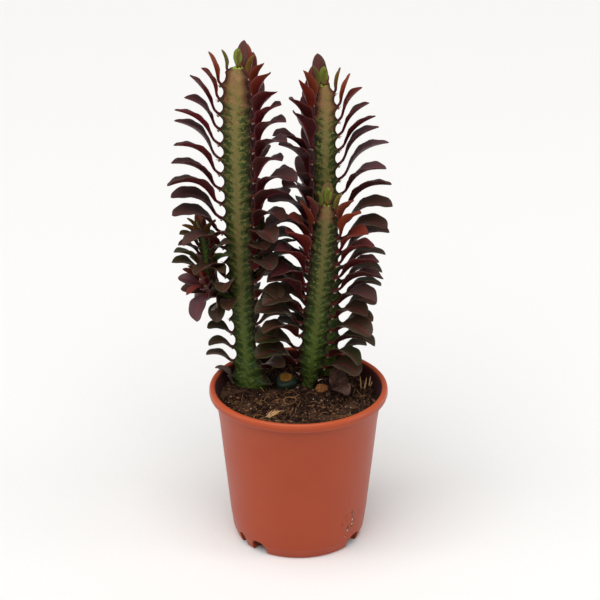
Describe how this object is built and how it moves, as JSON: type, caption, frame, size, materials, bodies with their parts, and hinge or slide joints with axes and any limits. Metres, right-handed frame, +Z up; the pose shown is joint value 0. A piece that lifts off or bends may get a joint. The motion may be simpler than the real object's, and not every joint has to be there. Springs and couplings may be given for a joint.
{
  "type": "potted euphorbia",
  "caption": "Potted three-ribbed succulent euphorbia with toothed green stems, red-brown spoon-shaped leaves and side twigs, in a tapered plastic pot of soil.",
  "frame": {"origin": "middle of the pot's flat underside", "axes": "+Z up along the pot's axis, -Y the front seen in the picture, +X to its right"},
  "size_m": [0.1436, 0.1478, 0.3385],
  "materials": {
    "pot_plastic": "satin moulded polypropylene, terracotta orange",
    "soil": "peat potting soil with fibres and perlite",
    "stem_green": "satin succulent skin, marbled green",
    "leaf_red": "satin mauve-brown succulent leaf",
    "bark": "rough bark chip",
    "dry_leaf": "dry withered leaf"
  },
  "bodies": {
    "root": {"pot": "pot_plastic", "soil": "soil", "cut_stump": "stem_green", "bark_chip": "bark", "withered_leaf": "dry_leaf", "rim_leaf": "dry_leaf", "stem_left": "stem_green", "stem_front": "stem_green", "stem_right": "stem_green"}
  },
  "joints": []
}
